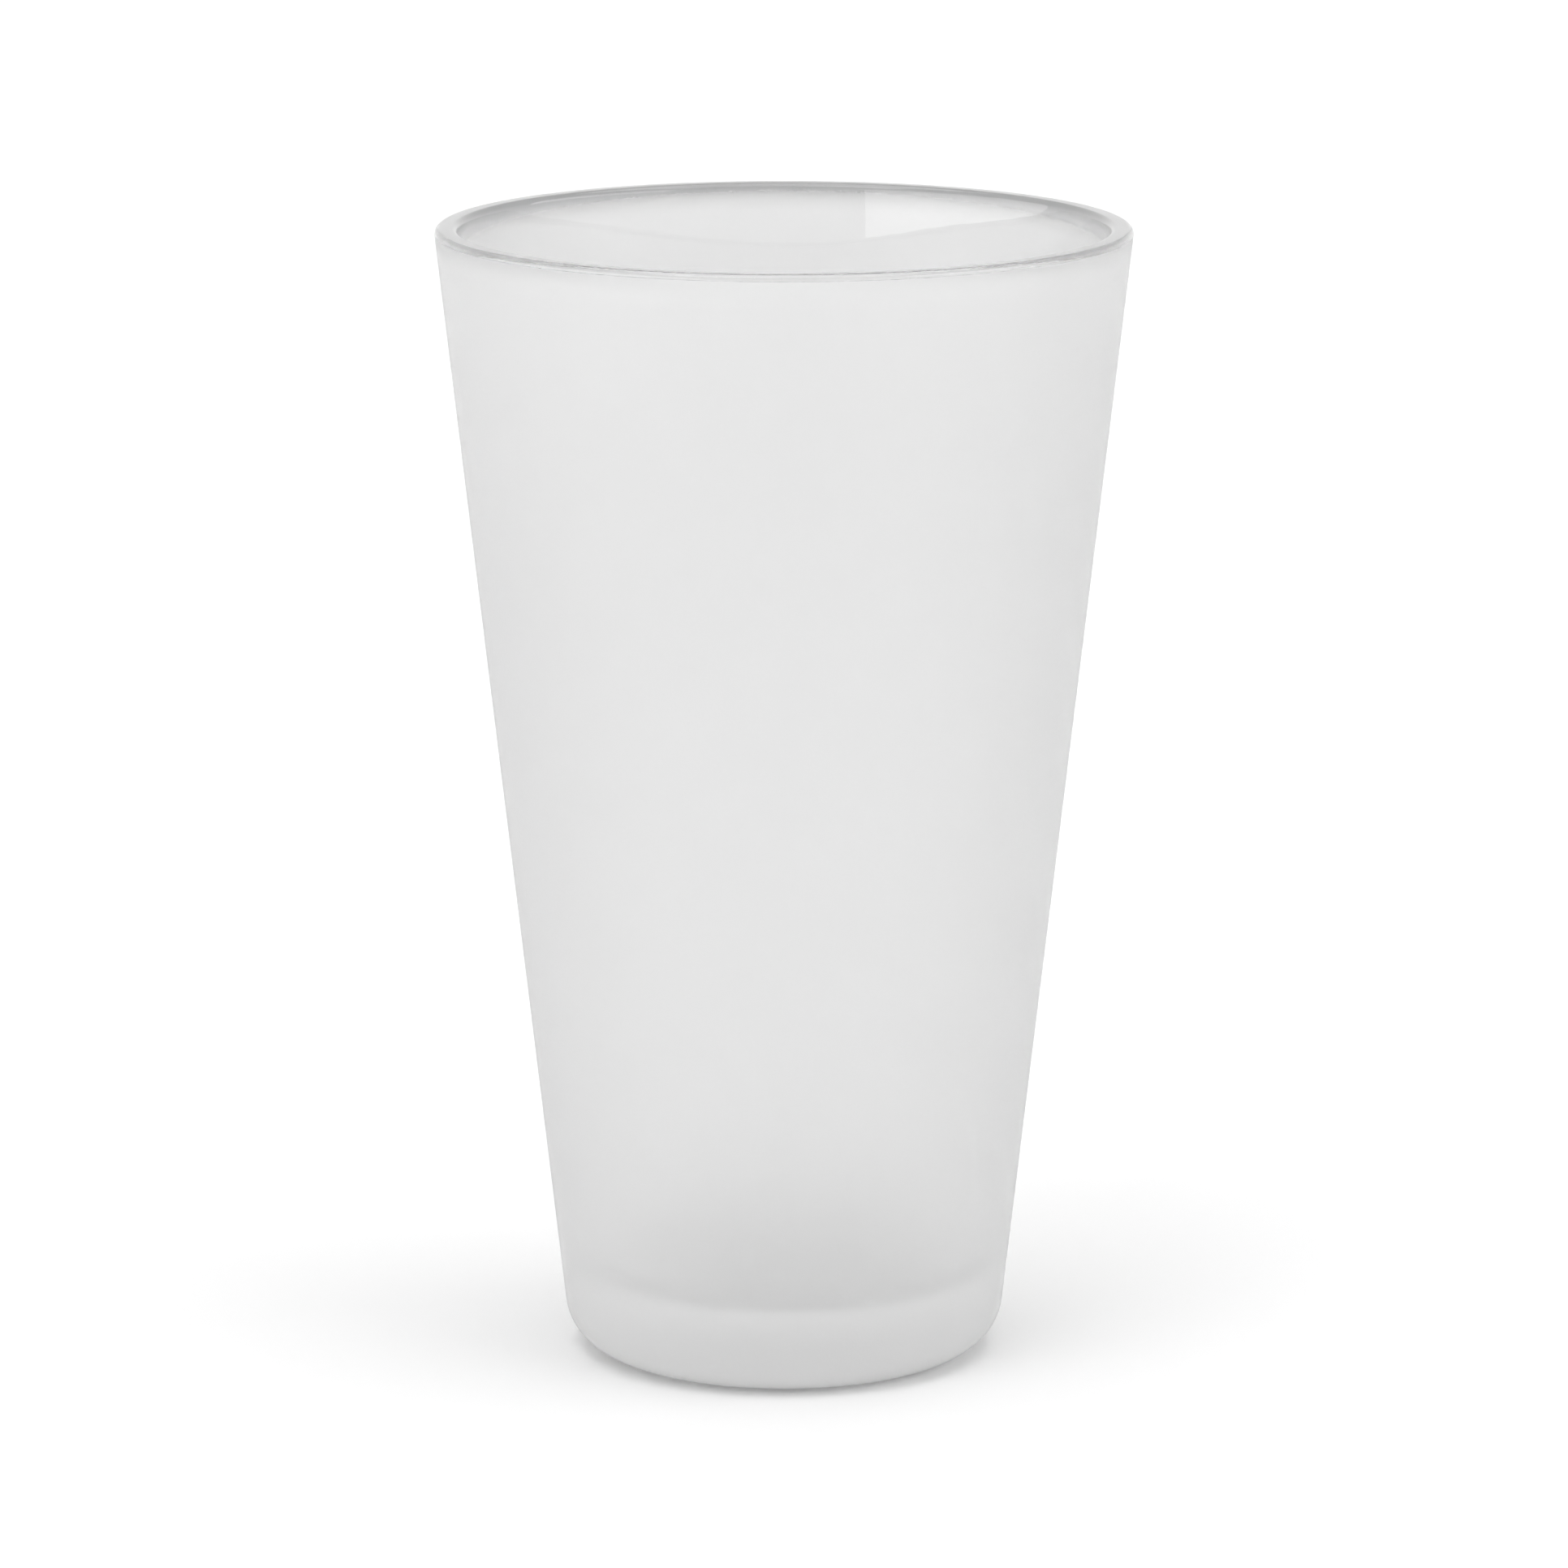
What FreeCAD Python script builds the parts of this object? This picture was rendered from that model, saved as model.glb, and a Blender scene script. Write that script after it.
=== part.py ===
"""A frosted pint glass: a tapered tumbler of pressed clear glass, and the thin frosting on its outside.

Units are millimetres. The axis of the glass is Z, and the glass stands on the plane z = 0 with the
origin at the centre of its foot. Both pieces are outlines in the XZ plane turned about Z.
"""
import FreeCAD, Part
import math
import os

# Driving dimensions, over the frosting
HEIGHT = 147.0
MOUTH_RADIUS = 44.5        # where the line of the outside wall reaches the height of the lip
FOOT_RADIUS = 27.9         # where the line of the outside wall reaches the table
HEEL_RADIUS = 6.8          # rounding between the outside wall and the foot
FROSTING = 0.12            # thickness of the frosting
FROSTING_TOP = 146.25      # the clear lip starts here
FROSTING_START_ANGLE = 18.0    # degrees round the heel from the foot, where the frosting begins

# The inside of the cup
MOUTH_WALL = 3.05          # thickness of glass at the lip, measured level
FLOOR_WALL = 3.6           # the same at the level of the cup's floor
FLOOR_HEIGHT = 11.0        # the cup's floor above the table
FLOOR_ROUNDING = 5.0       # between the cup's wall and its floor
LIP_OUTER_ROUNDING = 0.75
LIP_INNER_ROUNDING = 0.9

# The hollow under the foot, which leaves a flat ring for the glass to stand on
HOLLOW_DEPTH = 1.6
HOLLOW_TOP_RADIUS = 13.0
HOLLOW_MOUTH_RADIUS = 17.5
HOLLOW_TOP_ROUNDING = 5.0
HOLLOW_MOUTH_ROUNDING = 2.0

# Worked out from those
TAPER = (MOUTH_RADIUS - FOOT_RADIUS) / HEIGHT      # radius gained for each millimetre of height
LEAN = math.atan(TAPER)
LEVEL_FROSTING = FROSTING / math.cos(LEAN)         # thickness of the frosting, measured level
GLASS_HEEL_RADIUS = HEEL_RADIUS - FROSTING


def outside_radius(z):
    """Radius of the frosted outside wall's line at a height."""
    return FOOT_RADIUS + TAPER * z


def point(r, z):
    return FreeCAD.Vector(r, 0, z)


def rounded_outline(corners):
    """Closed wire through (radius, height, rounding) corners, with a tangent arc at each rounding."""
    ends = []
    edges = []
    count = len(corners)
    for i, (r, z, rounding) in enumerate(corners):
        here = point(r, z)
        if rounding == 0:
            ends.append((here, here))
            continue
        before = (point(*corners[i - 1][:2]) - here).normalize()
        after = (point(*corners[(i + 1) % count][:2]) - here).normalize()
        half_angle = before.getAngle(after) / 2
        setback = rounding / math.tan(half_angle)
        bisector = (before + after).normalize()
        centre = here + bisector * (rounding / math.sin(half_angle))
        first = here + before * setback
        last = here + after * setback
        edges.append(Part.Arc(first, centre - bisector * rounding, last).toShape())
        ends.append((first, last))
    for i in range(count):
        start = ends[i][1]
        end = ends[(i + 1) % count][0]
        edges.append(Part.LineSegment(start, end).toShape())
    return Part.Wire(Part.__sortEdges__(edges))


def turned(wire):
    """Solid made by turning a closed outline once about the axis of the glass."""
    axis_point = FreeCAD.Vector(0, 0, 0)
    axis = FreeCAD.Vector(0, 0, 1)
    return Part.Face(wire).revolve(axis_point, axis, 360)


def heel_centre():
    """Centre of the heel's arc, which touches the table's plane and the bare glass wall."""
    z = GLASS_HEEL_RADIUS
    r = outside_radius(z) - LEVEL_FROSTING - GLASS_HEEL_RADIUS / math.cos(LEAN)
    return point(r, z)


def glass_body():
    """The tumbler: hollow foot, heel, outside wall, clear lip, inside wall and floor."""
    return turned(rounded_outline([
        (0, HOLLOW_DEPTH, 0),
        (HOLLOW_TOP_RADIUS, HOLLOW_DEPTH, HOLLOW_TOP_ROUNDING),
        (HOLLOW_MOUTH_RADIUS, 0, HOLLOW_MOUTH_ROUNDING),
        (FOOT_RADIUS - LEVEL_FROSTING, 0, GLASS_HEEL_RADIUS),
        # The lip is a bead that stands out as far as the frosting below it.
        (outside_radius(FROSTING_TOP) - LEVEL_FROSTING, FROSTING_TOP, 0),
        (outside_radius(FROSTING_TOP), FROSTING_TOP, 0),
        (outside_radius(HEIGHT), HEIGHT, LIP_OUTER_ROUNDING),
        (outside_radius(HEIGHT) - MOUTH_WALL, HEIGHT, LIP_INNER_ROUNDING),
        (outside_radius(FLOOR_HEIGHT) - FLOOR_WALL, FLOOR_HEIGHT, FLOOR_ROUNDING),
        (0, FLOOR_HEIGHT, 0),
    ]))


def frost_coating():
    """The frosting: an even skin over the outside wall and most of the heel."""
    centre = heel_centre()

    def heel_point(radius, angle):
        return centre + point(math.sin(angle), -math.cos(angle)) * radius

    start = math.radians(FROSTING_START_ANGLE)
    end = math.pi / 2 - LEAN
    middle = (start + end) / 2
    outer_heel = [heel_point(HEEL_RADIUS, angle) for angle in (start, middle, end)]
    inner_heel = [heel_point(GLASS_HEEL_RADIUS, angle) for angle in (start, middle, end)]
    outer_top = point(outside_radius(FROSTING_TOP), FROSTING_TOP)
    inner_top = point(outside_radius(FROSTING_TOP) - LEVEL_FROSTING, FROSTING_TOP)
    return turned(Part.Wire([
        Part.Arc(*outer_heel).toShape(),
        Part.LineSegment(outer_heel[2], outer_top).toShape(),
        Part.LineSegment(outer_top, inner_top).toShape(),
        Part.LineSegment(inner_top, inner_heel[2]).toShape(),
        Part.Arc(*reversed(inner_heel)).toShape(),
        Part.LineSegment(inner_heel[0], outer_heel[0]).toShape(),
    ]))


os.makedirs("parts", exist_ok=True)
for piece in (glass_body, frost_coating):
    piece().exportStep("parts/" + piece.__name__ + ".step")
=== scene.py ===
"""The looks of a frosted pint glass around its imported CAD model.

Units are metres, in the CAD model's frame: Z is the axis of the glass, and it stands on z = 0.
Both CAD nodes are replaced by the same outlines turned in 256 steps, because glass shows every facet.
"""
import math

import bpy
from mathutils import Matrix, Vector


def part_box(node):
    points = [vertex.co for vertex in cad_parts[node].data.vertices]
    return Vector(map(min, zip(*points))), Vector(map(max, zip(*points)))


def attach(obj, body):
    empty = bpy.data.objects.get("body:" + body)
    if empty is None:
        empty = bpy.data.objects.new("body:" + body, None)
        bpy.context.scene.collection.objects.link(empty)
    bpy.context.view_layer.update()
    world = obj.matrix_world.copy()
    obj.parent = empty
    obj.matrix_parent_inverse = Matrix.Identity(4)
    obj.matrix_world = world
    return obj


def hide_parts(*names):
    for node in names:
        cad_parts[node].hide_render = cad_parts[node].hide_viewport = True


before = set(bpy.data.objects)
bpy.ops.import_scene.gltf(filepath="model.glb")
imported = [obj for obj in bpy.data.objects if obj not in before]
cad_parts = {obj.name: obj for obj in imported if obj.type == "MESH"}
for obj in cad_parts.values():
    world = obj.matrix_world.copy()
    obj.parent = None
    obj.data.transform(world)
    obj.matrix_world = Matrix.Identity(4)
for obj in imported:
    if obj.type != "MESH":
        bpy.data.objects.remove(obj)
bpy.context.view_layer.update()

MM = 0.001

# ---------------------------------------------------------------- sizes, from the frame
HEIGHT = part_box("glass_body")[1].z
FROSTING_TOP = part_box("frost_coating")[1].z
MOUTH_RADIUS = 44.5 * MM
FOOT_RADIUS = 27.9 * MM
HEEL_RADIUS = 6.8 * MM
FROSTING = 0.12 * MM
FROSTING_START_ANGLE = math.radians(18)
MOUTH_WALL = 3.05 * MM
FLOOR_WALL = 3.6 * MM
FLOOR_HEIGHT = 11.0 * MM
FLOOR_ROUNDING = 5.0 * MM
LIP_OUTER_ROUNDING = 0.75 * MM
LIP_INNER_ROUNDING = 0.9 * MM
HOLLOW_DEPTH = 1.6 * MM
HOLLOW_TOP_RADIUS = 13.0 * MM
HOLLOW_MOUTH_RADIUS = 17.5 * MM
HOLLOW_TOP_ROUNDING = 5.0 * MM
HOLLOW_MOUTH_ROUNDING = 2.0 * MM

TAPER = (MOUTH_RADIUS - FOOT_RADIUS) / HEIGHT
LEAN = math.atan(TAPER)
LEVEL_FROSTING = FROSTING / math.cos(LEAN)
GLASS_HEEL_RADIUS = HEEL_RADIUS - FROSTING

GLASS_IOR = 1.5
CLEAR_TINT = 0.99
SMEARED_ROUGH = 0.03
# The frosting lets the clear share of the light through as rough glass and scatters the rest.
FROST_TINT = 0.88
FROST_CLEAR = 0.6
FROST_ROUGH = 0.55
FROST_ROUGH_SPREAD = 0.04
GRAIN_PER_METRE = 3000
GRAIN_HEIGHT = 0.01 * MM
SMEARS_PER_METRE = 60
WAVE_HEIGHT = 0.02 * MM

STEPS_ROUND = 256
ARC_STEP = math.radians(6)
LONGEST_STEP = 4.0 * MM


def outside_radius(z):
    return FOOT_RADIUS + TAPER * z


def arc(centre, radius, start, end):
    """Points round a centre, from one angle to another, in the (radius, height) plane."""
    count = max(3, math.ceil(abs(end - start) / ARC_STEP))
    angles = [start + (end - start) * i / count for i in range(count + 1)]
    return [centre + Vector((math.cos(a), math.sin(a))) * radius for a in angles]


def rounded_corner(before, here, after, rounding):
    """The points that a tangent arc puts in place of a corner."""
    if rounding == 0:
        return [here]
    back = (before - here).normalized()
    on = (after - here).normalized()
    half_angle = math.acos(max(-1, min(1, back.dot(on)))) / 2
    bisector = (back + on).normalized()
    centre = here + bisector * (rounding / math.sin(half_angle))
    first = here + back * (rounding / math.tan(half_angle)) - centre
    last = here + on * (rounding / math.tan(half_angle)) - centre
    start = math.atan2(first.y, first.x)
    turn = first.angle_signed(last)
    return arc(centre, rounding, start, start - turn)


def filled_in(points):
    """The same line of points with long straight steps cut into short ones."""
    out = []
    for here, there in zip(points, points[1:]):
        count = max(1, math.ceil((there - here).length / LONGEST_STEP))
        out += [here.lerp(there, i / count) for i in range(count)]
    return out + [points[-1]]


def turned(name, stretches, closed):
    """A mesh made by turning stretches of outline about Z. Each stretch is (points, material).

    Stretches join end to end. The first and last points may be on the axis, or closed joins them.
    """
    profile = []
    slots = []
    materials = []
    for points, material in stretches:
        if material not in materials:
            materials.append(material)
        points = filled_in(points)
        profile += points if not profile else points[1:]
        slots += [materials.index(material)] * (len(points) - 1)
    if closed:
        profile.pop()
    verts = []
    rings = []
    for p in profile:
        on_axis = p.x < 1e-7
        rings.append((len(verts), on_axis))
        for k in range(1 if on_axis else STEPS_ROUND):
            turn = 2 * math.pi * k / STEPS_ROUND
            verts.append((p.x * math.cos(turn), p.x * math.sin(turn), p.y))
    faces = []
    face_slots = []
    for i, slot in enumerate(slots):
        low, low_on_axis = rings[i]
        high, high_on_axis = rings[(i + 1) % len(rings)]
        for k in range(STEPS_ROUND):
            n = (k + 1) % STEPS_ROUND
            a = [low] if low_on_axis else [low + k, low + n]
            b = [high] if high_on_axis else [high + n, high + k]
            faces.append(a + b)
            face_slots.append(slot)
    mesh = bpy.data.meshes.new(name)
    mesh.from_pydata(verts, [], faces)
    for material in materials:
        mesh.materials.append(material)
    mesh.polygons.foreach_set("material_index", face_slots)
    mesh.polygons.foreach_set("use_smooth", [True] * len(faces))
    mesh.validate()
    piece = bpy.data.objects.new(name, mesh)
    bpy.context.scene.collection.objects.link(piece)
    return piece


# ---------------------------------------------------------------- materials
def new_material(name):
    material = bpy.data.materials.new(name)
    material.use_nodes = True
    nodes = material.node_tree.nodes
    return material, nodes, material.node_tree.links, nodes["Principled BSDF"]


def noise(nodes, links, coordinates, scale, detail=2.0, roughness=0.5):
    node = nodes.new("ShaderNodeTexNoise")
    node.inputs["Scale"].default_value = scale
    node.inputs["Detail"].default_value = detail
    node.inputs["Roughness"].default_value = roughness
    links.new(coordinates.outputs["Object"], node.inputs["Vector"])
    return node


def spread(nodes, links, source, low, high):
    """The middle of a noise, which is nearly all of it, stretched from low to high."""
    node = nodes.new("ShaderNodeMapRange")
    node.inputs["From Min"].default_value = 0.3
    node.inputs["From Max"].default_value = 0.7
    node.inputs["To Min"].default_value = low
    node.inputs["To Max"].default_value = high
    links.new(source, node.inputs["Value"])
    return node.outputs["Result"]


def bump(nodes, links, source, height, shader):
    node = nodes.new("ShaderNodeBump")
    node.inputs["Distance"].default_value = height
    links.new(source, node.inputs["Height"])
    links.new(node.outputs["Normal"], shader.inputs["Normal"])


def clear_glass():
    """Polished pressed glass: faint smears, and the slight waviness that a mould leaves."""
    material, nodes, links, shader = new_material("clear_glass")
    shader.inputs["Base Color"].default_value = (CLEAR_TINT, CLEAR_TINT, CLEAR_TINT, 1)
    shader.inputs["Transmission Weight"].default_value = 1
    shader.inputs["IOR"].default_value = GLASS_IOR
    coordinates = nodes.new("ShaderNodeTexCoord")
    smear = noise(nodes, links, coordinates, SMEARS_PER_METRE, 3)
    links.new(spread(nodes, links, smear.outputs["Fac"], 0.0, SMEARED_ROUGH), shader.inputs["Roughness"])
    bump(nodes, links, smear.outputs["Fac"], WAVE_HEIGHT, shader)
    return material


def frosting():
    """Etched satin glass: mostly rough glass, partly plain white scatter, with a fine grain."""
    material, nodes, links, shader = new_material("frosting")
    shader.inputs["Base Color"].default_value = (FROST_TINT, FROST_TINT, FROST_TINT, 1)
    shader.inputs["Transmission Weight"].default_value = FROST_CLEAR
    shader.inputs["IOR"].default_value = GLASS_IOR
    coordinates = nodes.new("ShaderNodeTexCoord")
    grain = noise(nodes, links, coordinates, GRAIN_PER_METRE, 2, 0.6)
    low = FROST_ROUGH - FROST_ROUGH_SPREAD
    high = FROST_ROUGH + FROST_ROUGH_SPREAD
    links.new(spread(nodes, links, grain.outputs["Fac"], low, high), shader.inputs["Roughness"])
    bump(nodes, links, grain.outputs["Fac"], GRAIN_HEIGHT, shader)
    return material


def hidden_contact():
    """Where the frosting touches the glass there is no air between them, so nothing shows there."""
    material, nodes, links, shader = new_material("glass_to_frosting")
    shader.inputs["Alpha"].default_value = 0
    return material


clear = clear_glass()
frosted = frosting()
contact = hidden_contact()


# ---------------------------------------------------------------- the glass and its frosting
def make_glass_body():
    """The pressed glass. Its underside has the frosting's finish, and its lip and inside are clear."""
    ledge_inner = Vector((outside_radius(FROSTING_TOP) - LEVEL_FROSTING, FROSTING_TOP))
    ledge_outer = Vector((outside_radius(FROSTING_TOP), FROSTING_TOP))
    corners = [
        (0, HOLLOW_DEPTH, 0),
        (HOLLOW_TOP_RADIUS, HOLLOW_DEPTH, HOLLOW_TOP_ROUNDING),
        (HOLLOW_MOUTH_RADIUS, 0, HOLLOW_MOUTH_ROUNDING),
        (FOOT_RADIUS - LEVEL_FROSTING, 0, GLASS_HEEL_RADIUS),
        (ledge_inner.x, ledge_inner.y, 0),
        (ledge_outer.x, ledge_outer.y, 0),
        (outside_radius(HEIGHT), HEIGHT, LIP_OUTER_ROUNDING),
        (outside_radius(HEIGHT) - MOUTH_WALL, HEIGHT, LIP_INNER_ROUNDING),
        (outside_radius(FLOOR_HEIGHT) - FLOOR_WALL, FLOOR_HEIGHT, FLOOR_ROUNDING),
        (0, FLOOR_HEIGHT, 0),
    ]
    runs = []
    for i, (r, z, rounding) in enumerate(corners):
        here = Vector((r, z))
        before = Vector(corners[i - 1][:2])
        after = Vector(corners[(i + 1) % len(corners)][:2])
        runs.append(rounded_corner(before, here, after, rounding))
    foot = runs[0] + runs[1] + runs[2]
    heel = runs[3]
    covered = sum(1 for p in heel if heel_angle(p) < FROSTING_START_ANGLE)
    foot += heel[:covered + 1]
    skin = heel[covered:] + [ledge_inner, ledge_outer]
    lip_and_cup = [ledge_outer] + sum(runs[6:], [])
    return turned("glass", [(foot, frosted), (skin, contact), (lip_and_cup, clear)], closed=False)


def heel_centre():
    z = GLASS_HEEL_RADIUS
    return Vector((outside_radius(z) - LEVEL_FROSTING - GLASS_HEEL_RADIUS / math.cos(LEAN), z))


def heel_angle(p):
    """How far round the heel a point is, from the foot up."""
    out = p - heel_centre()
    return math.atan2(out.x, -out.y)


def make_frosting():
    start = FROSTING_START_ANGLE - math.pi / 2
    end = -LEAN
    outer = arc(heel_centre(), HEEL_RADIUS, start, end)
    inner = arc(heel_centre(), GLASS_HEEL_RADIUS, start, end)
    outer.append(Vector((outside_radius(FROSTING_TOP), FROSTING_TOP)))
    inner.append(Vector((outside_radius(FROSTING_TOP) - LEVEL_FROSTING, FROSTING_TOP)))
    skin = [inner[0]] + outer
    back = [outer[-1]] + inner[::-1]
    return turned("frosting", [(skin, frosted), (back, contact)], closed=True)


glass = make_glass_body()
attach(glass, "root")
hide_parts("glass_body")

frost = make_frosting()
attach(frost, "root")
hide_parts("frost_coating")


# ---------------------------------------------------------------- floor, light and camera
# The sky's brightness near the floor and higher up, and the sines of the heights between them.
SKY_LOW = 1.0
SKY_HIGH = 0.3
FADE_FROM = 0.06
FADE_TO = 0.5
STUDIO_RADIUS = 20.0
FLOOR_TONE = 0.9
FLOOR_ROUGH = 0.9
# Softboxes round the glass, which light the floor as well. The bearing is from the camera's side,
# clockwise seen from above, and all angles, in degrees, are as the glass sees them.
SOFTBOXES = [
    # name, bearing, height, half width, half height, brightness
    ("left_softbox", 70, 15, 40, 12, 1.8),
    ("right_softbox", 285, 25, 30, 12, 2.4),
    ("top_softbox", 0, 89, 30, 30, 2.0),
]
KEY_BEARING = 35
KEY_HEIGHT = 58
KEY_SPREAD = 30
KEY_STRENGTH = 0.3

CAMERA_BACK = 909.7 * MM
CAMERA_UP = 271.4 * MM
CAMERA_DOWNWARD = math.radians(12.22)
CAMERA_LENS = 165.4
CAMERA_REACH = 100
LIGHT_BOUNCES = 32


def make_floor():
    reach = STUDIO_RADIUS
    mesh = bpy.data.meshes.new("floor")
    corners = [(-reach, -reach, 0), (reach, -reach, 0), (reach, reach, 0), (-reach, reach, 0)]
    mesh.from_pydata(corners, [], [(0, 1, 2, 3)])
    floor = bpy.data.objects.new("floor", mesh)
    bpy.context.scene.collection.objects.link(floor)
    material, nodes, links, shader = new_material("pale_floor")
    shader.inputs["Base Color"].default_value = (FLOOR_TONE, FLOOR_TONE, FLOOR_TONE, 1)
    shader.inputs["Roughness"].default_value = FLOOR_ROUGH
    shader.inputs["Specular IOR Level"].default_value = 0
    mesh.materials.append(material)
    return floor


def make_softbox(name, bearing, height, half_width, half_height, brightness):
    lamp = bpy.data.lights.new(name, "AREA")
    lamp.shape = "RECTANGLE"
    lamp.size = 2 * STUDIO_RADIUS * math.tan(math.radians(half_width))
    lamp.size_y = 2 * STUDIO_RADIUS * math.tan(math.radians(half_height))
    lamp.energy = brightness * math.pi * lamp.size * lamp.size_y
    softbox = bpy.data.objects.new(name, lamp)
    bpy.context.scene.collection.objects.link(softbox)
    turn = math.radians(bearing)
    up = math.radians(height)
    level = STUDIO_RADIUS * math.cos(up)
    softbox.location = (-level * math.sin(turn), -level * math.cos(turn), STUDIO_RADIUS * math.sin(up))
    softbox.rotation_euler = (math.pi / 2 - up, 0, -turn)


def make_key():
    """A broad soft sun from the front left, so that a shadow falls to the back right."""
    lamp = bpy.data.lights.new("key", "SUN")
    lamp.energy = KEY_STRENGTH
    lamp.angle = math.radians(KEY_SPREAD)
    key = bpy.data.objects.new("key", lamp)
    bpy.context.scene.collection.objects.link(key)
    key.rotation_euler = (math.radians(90 - KEY_HEIGHT), 0, -math.radians(KEY_BEARING))


def make_sky():
    """Pale all round near the floor and darker higher up."""
    world = bpy.data.worlds.new("studio")
    bpy.context.scene.world = world
    world.use_nodes = True
    nodes = world.node_tree.nodes
    links = world.node_tree.links
    direction = nodes.new("ShaderNodeTexCoord")
    split = nodes.new("ShaderNodeSeparateXYZ")
    links.new(direction.outputs["Generated"], split.inputs["Vector"])
    fade = nodes.new("ShaderNodeMapRange")
    fade.interpolation_type = "SMOOTHSTEP"
    fade.inputs["From Min"].default_value = FADE_FROM
    fade.inputs["From Max"].default_value = FADE_TO
    fade.inputs["To Min"].default_value = SKY_LOW
    fade.inputs["To Max"].default_value = SKY_HIGH
    links.new(split.outputs["Z"], fade.inputs["Value"])
    links.new(fade.outputs["Result"], nodes["Background"].inputs["Strength"])
    nodes["Background"].inputs["Color"].default_value = (1, 1, 1, 1)


make_floor()
make_sky()
make_key()
for settings in SOFTBOXES:
    make_softbox(*settings)

camera_data = bpy.data.cameras.new("camera")
camera = bpy.data.objects.new("camera", camera_data)
bpy.context.scene.collection.objects.link(camera)
camera.location = (0, -CAMERA_BACK, CAMERA_UP)
camera.rotation_euler = (math.pi / 2 - CAMERA_DOWNWARD, 0, 0)
camera_data.lens = CAMERA_LENS
camera_data.sensor_width = 36
camera_data.clip_end = CAMERA_REACH
bpy.context.scene.camera = camera
bpy.context.scene.view_settings.view_transform = "Standard"

# Light goes round inside the glass many times before it gets out again.
paths = bpy.context.scene.cycles
paths.max_bounces = LIGHT_BOUNCES
paths.glossy_bounces = LIGHT_BOUNCES
paths.transmission_bounces = LIGHT_BOUNCES
paths.transparent_max_bounces = LIGHT_BOUNCES
